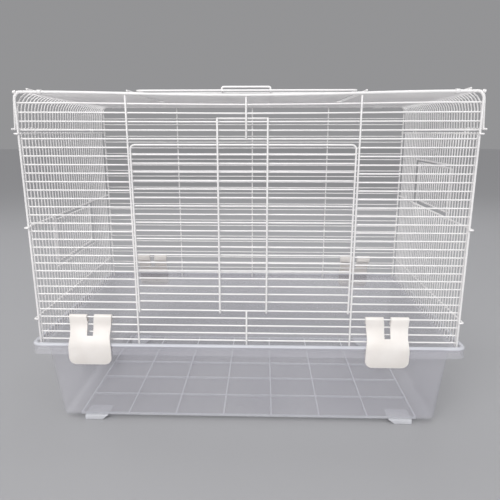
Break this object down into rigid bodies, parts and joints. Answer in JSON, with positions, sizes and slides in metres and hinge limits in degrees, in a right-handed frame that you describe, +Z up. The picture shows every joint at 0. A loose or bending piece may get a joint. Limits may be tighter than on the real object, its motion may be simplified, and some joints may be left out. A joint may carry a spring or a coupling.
{
  "type": "small animal cage",
  "caption": "White wire cage top with hinged front, roof and side doors, held by moulded clips to the rim of a deep translucent tray on low feet",
  "frame": {"origin": "centre of the footprint, on the ground under the tray's feet", "axes": "+X is the width, the front door faces -Y, +Z is up"},
  "size_m": [0.62, 0.3768, 0.4927],
  "materials": {
    "tray_plastic": "translucent frosted polypropylene, smooth moulded",
    "white_coated_wire": "white dipped coating over round steel wire",
    "ring_strip": "white coated folded steel strip",
    "clip_plastic": "milky moulded polypropylene"
  },
  "bodies": {
    "tray": {"tray": "tray_plastic"},
    "wire_top": {"roof_front_wire": "white_coated_wire", "roof_rear_wire": "white_coated_wire", "roof_cross_wires": "white_coated_wire", "roof_cut_wires": "white_coated_wire", "roof_long_wires": "white_coated_wire", "roof_side_rails": "white_coated_wire", "front_frame_wire": "white_coated_wire", "rear_frame_wire": "white_coated_wire", "front_bars": "white_coated_wire", "front_short_bars": "white_coated_wire", "rear_bars": "white_coated_wire", "front_uprights": "white_coated_wire", "front_struts": "white_coated_wire", "rear_uprights": "white_coated_wire", "left_rails": "white_coated_wire", "left_uprights": "white_coated_wire", "right_rails": "white_coated_wire", "right_uprights": "white_coated_wire", "front_hinge_rings": "ring_strip", "rear_hinge_rings": "ring_strip", "left_hanger_rings": "ring_strip", "right_hanger_rings": "ring_strip"},
    "front_door": {"front_door_frame": "white_coated_wire", "front_door_bars": "white_coated_wire", "front_door_latch": "white_coated_wire"},
    "roof_door": {"roof_door_frame": "white_coated_wire", "roof_door_bars": "white_coated_wire", "roof_door_latch": "white_coated_wire"},
    "left_door": {"left_door_frame": "white_coated_wire", "left_door_bars": "white_coated_wire"},
    "right_door": {"right_door_frame": "white_coated_wire", "right_door_bars": "white_coated_wire"},
    "front_left_clip_body": {"front_left_clip": "clip_plastic"},
    "front_right_clip_body": {"front_right_clip": "clip_plastic"},
    "rear_left_clip_body": {"rear_left_clip": "clip_plastic"},
    "rear_right_clip_body": {"rear_right_clip": "clip_plastic"}
  },
  "joints": [
    {"name": "top_lift", "type": "slide", "parent": "tray", "child": "wire_top", "axis": [0, 0, 1], "range_m": [0, 0.04]},
    {"name": "front_door_hinge", "type": "hinge", "parent": "wire_top", "child": "front_door", "pos_m": [0, -0.173, 0.1902], "axis": [1, 0, 0], "range_deg": [0, 135]},
    {"name": "roof_door_hinge", "type": "hinge", "parent": "wire_top", "child": "roof_door", "pos_m": [0, 0.02471, 0.4845], "axis": [-1, 0, 0], "range_deg": [0, 145]},
    {"name": "left_door_hinge", "type": "hinge", "parent": "wire_top", "child": "left_door", "pos_m": [-0.30225, 0, 0.3085], "axis": [0, 1, 0], "range_deg": [0, 160]},
    {"name": "right_door_hinge", "type": "hinge", "parent": "wire_top", "child": "right_door", "pos_m": [0.30225, 0, 0.3085], "axis": [0, 1, 0], "range_deg": [0, 160]},
    {"name": "front_left_clip_hinge", "type": "hinge", "parent": "wire_top", "child": "front_left_clip_body", "pos_m": [0, -0.173, 0.1789], "axis": [-1, 0, 0], "range_deg": [0, 101]},
    {"name": "front_right_clip_hinge", "type": "hinge", "parent": "wire_top", "child": "front_right_clip_body", "pos_m": [0, -0.173, 0.1789], "axis": [-1, 0, 0], "range_deg": [0, 101]},
    {"name": "rear_left_clip_hinge", "type": "hinge", "parent": "wire_top", "child": "rear_left_clip_body", "pos_m": [0, 0.173, 0.1789], "axis": [1, 0, 0], "range_deg": [0, 101]},
    {"name": "rear_right_clip_hinge", "type": "hinge", "parent": "wire_top", "child": "rear_right_clip_body", "pos_m": [0, 0.173, 0.1789], "axis": [1, 0, 0], "range_deg": [0, 101]}
  ],
  "couplings": [
    {"joint": "front_left_clip_hinge", "follows": "top_lift", "rad_per_m": 43.633},
    {"joint": "front_right_clip_hinge", "follows": "top_lift", "rad_per_m": 43.633},
    {"joint": "rear_left_clip_hinge", "follows": "top_lift", "rad_per_m": 43.633},
    {"joint": "rear_right_clip_hinge", "follows": "top_lift", "rad_per_m": 43.633}
  ]
}
